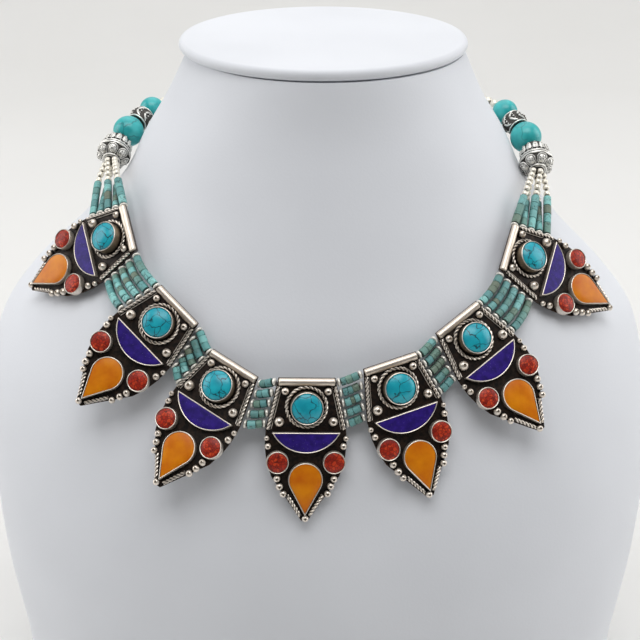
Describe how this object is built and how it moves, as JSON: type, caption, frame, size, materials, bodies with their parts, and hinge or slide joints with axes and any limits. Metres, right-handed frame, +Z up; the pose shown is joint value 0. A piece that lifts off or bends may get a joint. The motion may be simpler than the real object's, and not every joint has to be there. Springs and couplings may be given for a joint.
{
  "type": "choker on neck bust",
  "caption": "Choker of boxed silver plates set with turquoise, lapis, coral and amber stones, joined by rows of small bead strands and shown on a plain pale neck bust.",
  "frame": {"origin": "middle of the bust's flat base", "axes": "+X to the right seen from the front, -Y to the front where the plates lie, +Z up the neck"},
  "size_m": [0.2526, 0.1861, 0.2461],
  "materials": {
    "leatherette": "satin, fine grain",
    "silver": "silver, polished where raised and oxidised dark where sunk",
    "turquoise": "polished, dark veined",
    "heishi": "satin, small rubbed tubes",
    "lapis": "polished, flat",
    "coral": "semi-gloss, mottled",
    "amber": "glossy, slightly translucent"
  },
  "bodies": {
    "root": {"neck_bust": "leatherette", "bust_top_disc": "leatherette", "plate_1": "silver", "turquoise_cab_1": "turquoise", "lapis_half_moon_1": "lapis", "coral_left_1": "coral", "coral_right_1": "coral", "amber_drop_1": "amber", "plate_2": "silver", "turquoise_cab_2": "turquoise", "lapis_half_moon_2": "lapis", "coral_left_2": "coral", "coral_right_2": "coral", "amber_drop_2": "amber", "plate_3": "silver", "turquoise_cab_3": "turquoise", "lapis_half_moon_3": "lapis", "coral_left_3": "coral", "coral_right_3": "coral", "amber_drop_3": "amber", "plate_4": "silver", "turquoise_cab_4": "turquoise", "lapis_half_moon_4": "lapis", "coral_left_4": "coral", "coral_right_4": "coral", "amber_drop_4": "amber", "plate_5": "silver", "turquoise_cab_5": "turquoise", "lapis_half_moon_5": "lapis", "coral_left_5": "coral", "coral_right_5": "coral", "amber_drop_5": "amber", "plate_6": "silver", "turquoise_cab_6": "turquoise", "lapis_half_moon_6": "lapis", "coral_left_6": "coral", "coral_right_6": "coral", "amber_drop_6": "amber", "plate_7": "silver", "turquoise_cab_7": "turquoise", "lapis_half_moon_7": "lapis", "coral_left_7": "coral", "coral_right_7": "coral", "amber_drop_7": "amber", "strand_1": "heishi", "strand_2": "heishi", "strand_3": "heishi", "strand_4": "heishi", "strand_5": "heishi", "cap_bead_left": "silver", "turquoise_round_left_1": "turquoise", "silver_rondelle_left": "silver", "turquoise_round_left_2": "turquoise", "back_strand_left": "silver", "cap_bead_right": "silver", "turquoise_round_right_1": "turquoise", "silver_rondelle_right": "silver", "turquoise_round_right_2": "turquoise", "back_strand_right": "silver", "clasp": "silver"}
  },
  "joints": []
}
